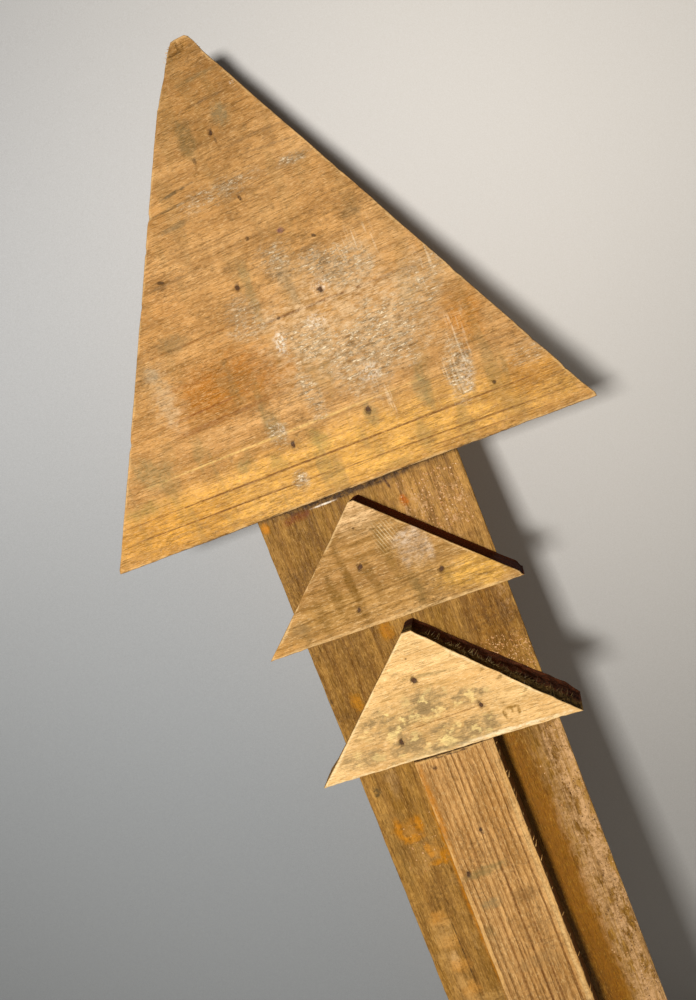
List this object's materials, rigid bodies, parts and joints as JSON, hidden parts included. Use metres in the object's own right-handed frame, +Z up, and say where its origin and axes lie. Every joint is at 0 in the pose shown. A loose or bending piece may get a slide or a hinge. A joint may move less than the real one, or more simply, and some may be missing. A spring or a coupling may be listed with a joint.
{
  "type": "arrow-headed marker post",
  "caption": "Wooden marker nailed up from boards: a post with a large triangular head, two smaller triangles stepped below it and a batten down its front.",
  "frame": {"origin": "centre of the post board's sawn foot", "axes": "+Z up the post towards the head, -Y out of the front that carries the triangles and the batten, +X to the right seen from the front"},
  "size_m": [0.1996, 0.038, 0.6359],
  "materials": {
    "post_wood": "amber-stained planed softwood, worn",
    "batten_wood": "planed softwood with strong straight grain, worn",
    "head_wood": "honey-coloured planed softwood, stained and scuffed",
    "upper_wood": "sawn softwood, greyed in patches",
    "lower_wood": "pale sawn softwood with mildew stains",
    "nail_steel": "rusted wire nail"
  },
  "bodies": {
    "root": {"post_board": "post_wood", "batten": "batten_wood", "head_triangle": "head_wood", "upper_triangle": "upper_wood", "lower_triangle": "lower_wood", "head_nail_1": "nail_steel", "head_nail_2": "nail_steel", "head_nail_3": "nail_steel", "head_nail_4": "nail_steel", "head_nail_5": "nail_steel", "upper_nail_1": "nail_steel", "upper_nail_2": "nail_steel", "upper_nail_3": "nail_steel", "lower_nail_1": "nail_steel", "lower_nail_2": "nail_steel", "lower_nail_3": "nail_steel", "batten_nail_1": "nail_steel", "batten_nail_2": "nail_steel", "batten_nail_3": "nail_steel", "batten_nail_4": "nail_steel", "batten_nail_5": "nail_steel"}
  },
  "joints": []
}
